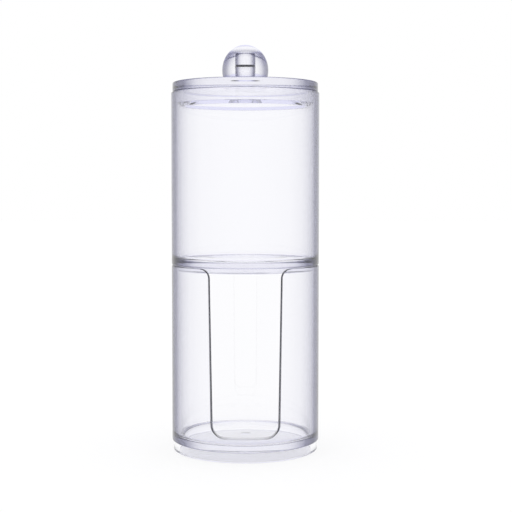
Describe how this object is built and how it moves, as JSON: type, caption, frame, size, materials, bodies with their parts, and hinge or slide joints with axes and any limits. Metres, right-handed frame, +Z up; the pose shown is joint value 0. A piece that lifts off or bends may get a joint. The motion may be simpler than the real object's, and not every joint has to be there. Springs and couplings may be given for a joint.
{
  "type": "cotton pad and swab organizer",
  "caption": "Clear round bathroom tower: a lower jar that gives out cotton pads through a front slot, a stacked upper jar for swabs, and a plug lid with a ball knob.",
  "frame": {"origin": "middle of the foot's underside, on the tower's axis", "axes": "+Z up the tower's axis to the knob, the pad slot faces -Y"},
  "size_m": [0.073, 0.073, 0.1999],
  "materials": {
    "clear_jar": "polished clear moulded plastic, very faint lavender cast",
    "clear_lid": "polished clear moulded plastic, very faint lavender cast",
    "clear_knob": "polished clear moulded plastic, very faint lavender cast"
  },
  "bodies": {
    "pad_dispenser": {"lower_jar": "clear_jar"},
    "swab_jar": {"upper_jar": "clear_jar"},
    "lid_with_knob": {"lid": "clear_lid", "knob": "clear_knob"}
  },
  "joints": [
    {"name": "upper_jar_lift", "type": "slide", "parent": "pad_dispenser", "child": "swab_jar", "axis": [0, 0, 1], "range_m": [0, 0.06]},
    {"name": "lid_lift", "type": "slide", "parent": "swab_jar", "child": "lid_with_knob", "axis": [0, 0, 1], "range_m": [0, 0.08]}
  ]
}
